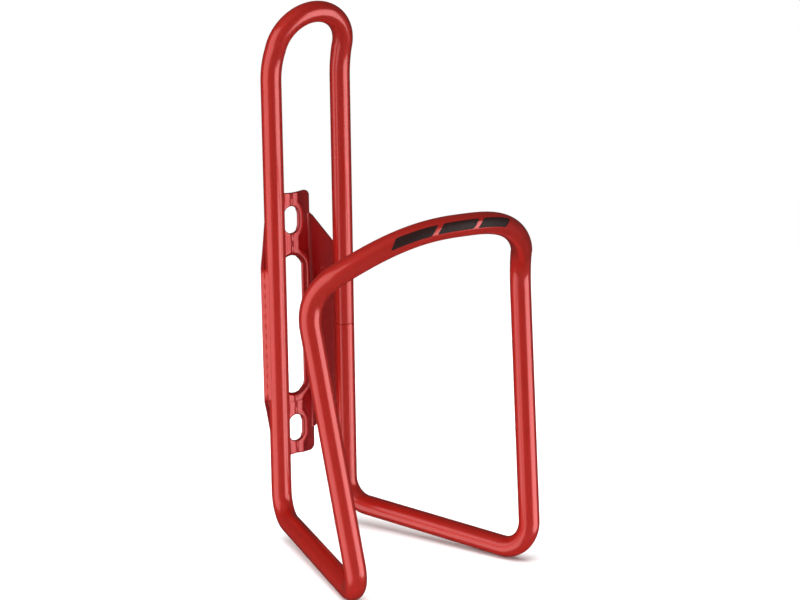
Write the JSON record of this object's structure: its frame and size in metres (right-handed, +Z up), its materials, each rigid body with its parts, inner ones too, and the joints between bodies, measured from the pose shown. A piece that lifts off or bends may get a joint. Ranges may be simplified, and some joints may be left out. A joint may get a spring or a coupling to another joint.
{
  "type": "water bottle cage",
  "caption": "Bicycle water bottle cage: a bent red aluminium tube loop with a leaning top arch and a raised front hoop, on a pressed, slotted mounting plate.",
  "frame": {"origin": "half way between the two bolt slots, in the plane of the back faces of their seats, which clamp to the bicycle frame", "axes": "+X across the cage, about which it is a mirror image; +Z up along the rails; +Y into the bicycle frame, so the bottle and the hoop are towards -Y"},
  "size_m": [0.0782, 0.0881, 0.1581],
  "materials": {
    "cage_tube": "red metallic lacquer, satin gloss",
    "joint_pin": "plain turned",
    "mounting_plate": "red metallic lacquer, satin gloss",
    "weld_seam_left": "painted over with the tube",
    "weld_seam_right": "painted over with the tube",
    "front_stripe_left": "thin printed film",
    "front_stripe_middle": "thin printed film",
    "front_stripe_right": "thin printed film"
  },
  "bodies": {
    "root": {"cage_tube": "cage_tube", "joint_pin": "joint_pin", "mounting_plate": "mounting_plate", "weld_seam_left": "weld_seam_left", "weld_seam_right": "weld_seam_right", "front_stripe_left": "front_stripe_left", "front_stripe_middle": "front_stripe_middle", "front_stripe_right": "front_stripe_right"}
  },
  "joints": []
}
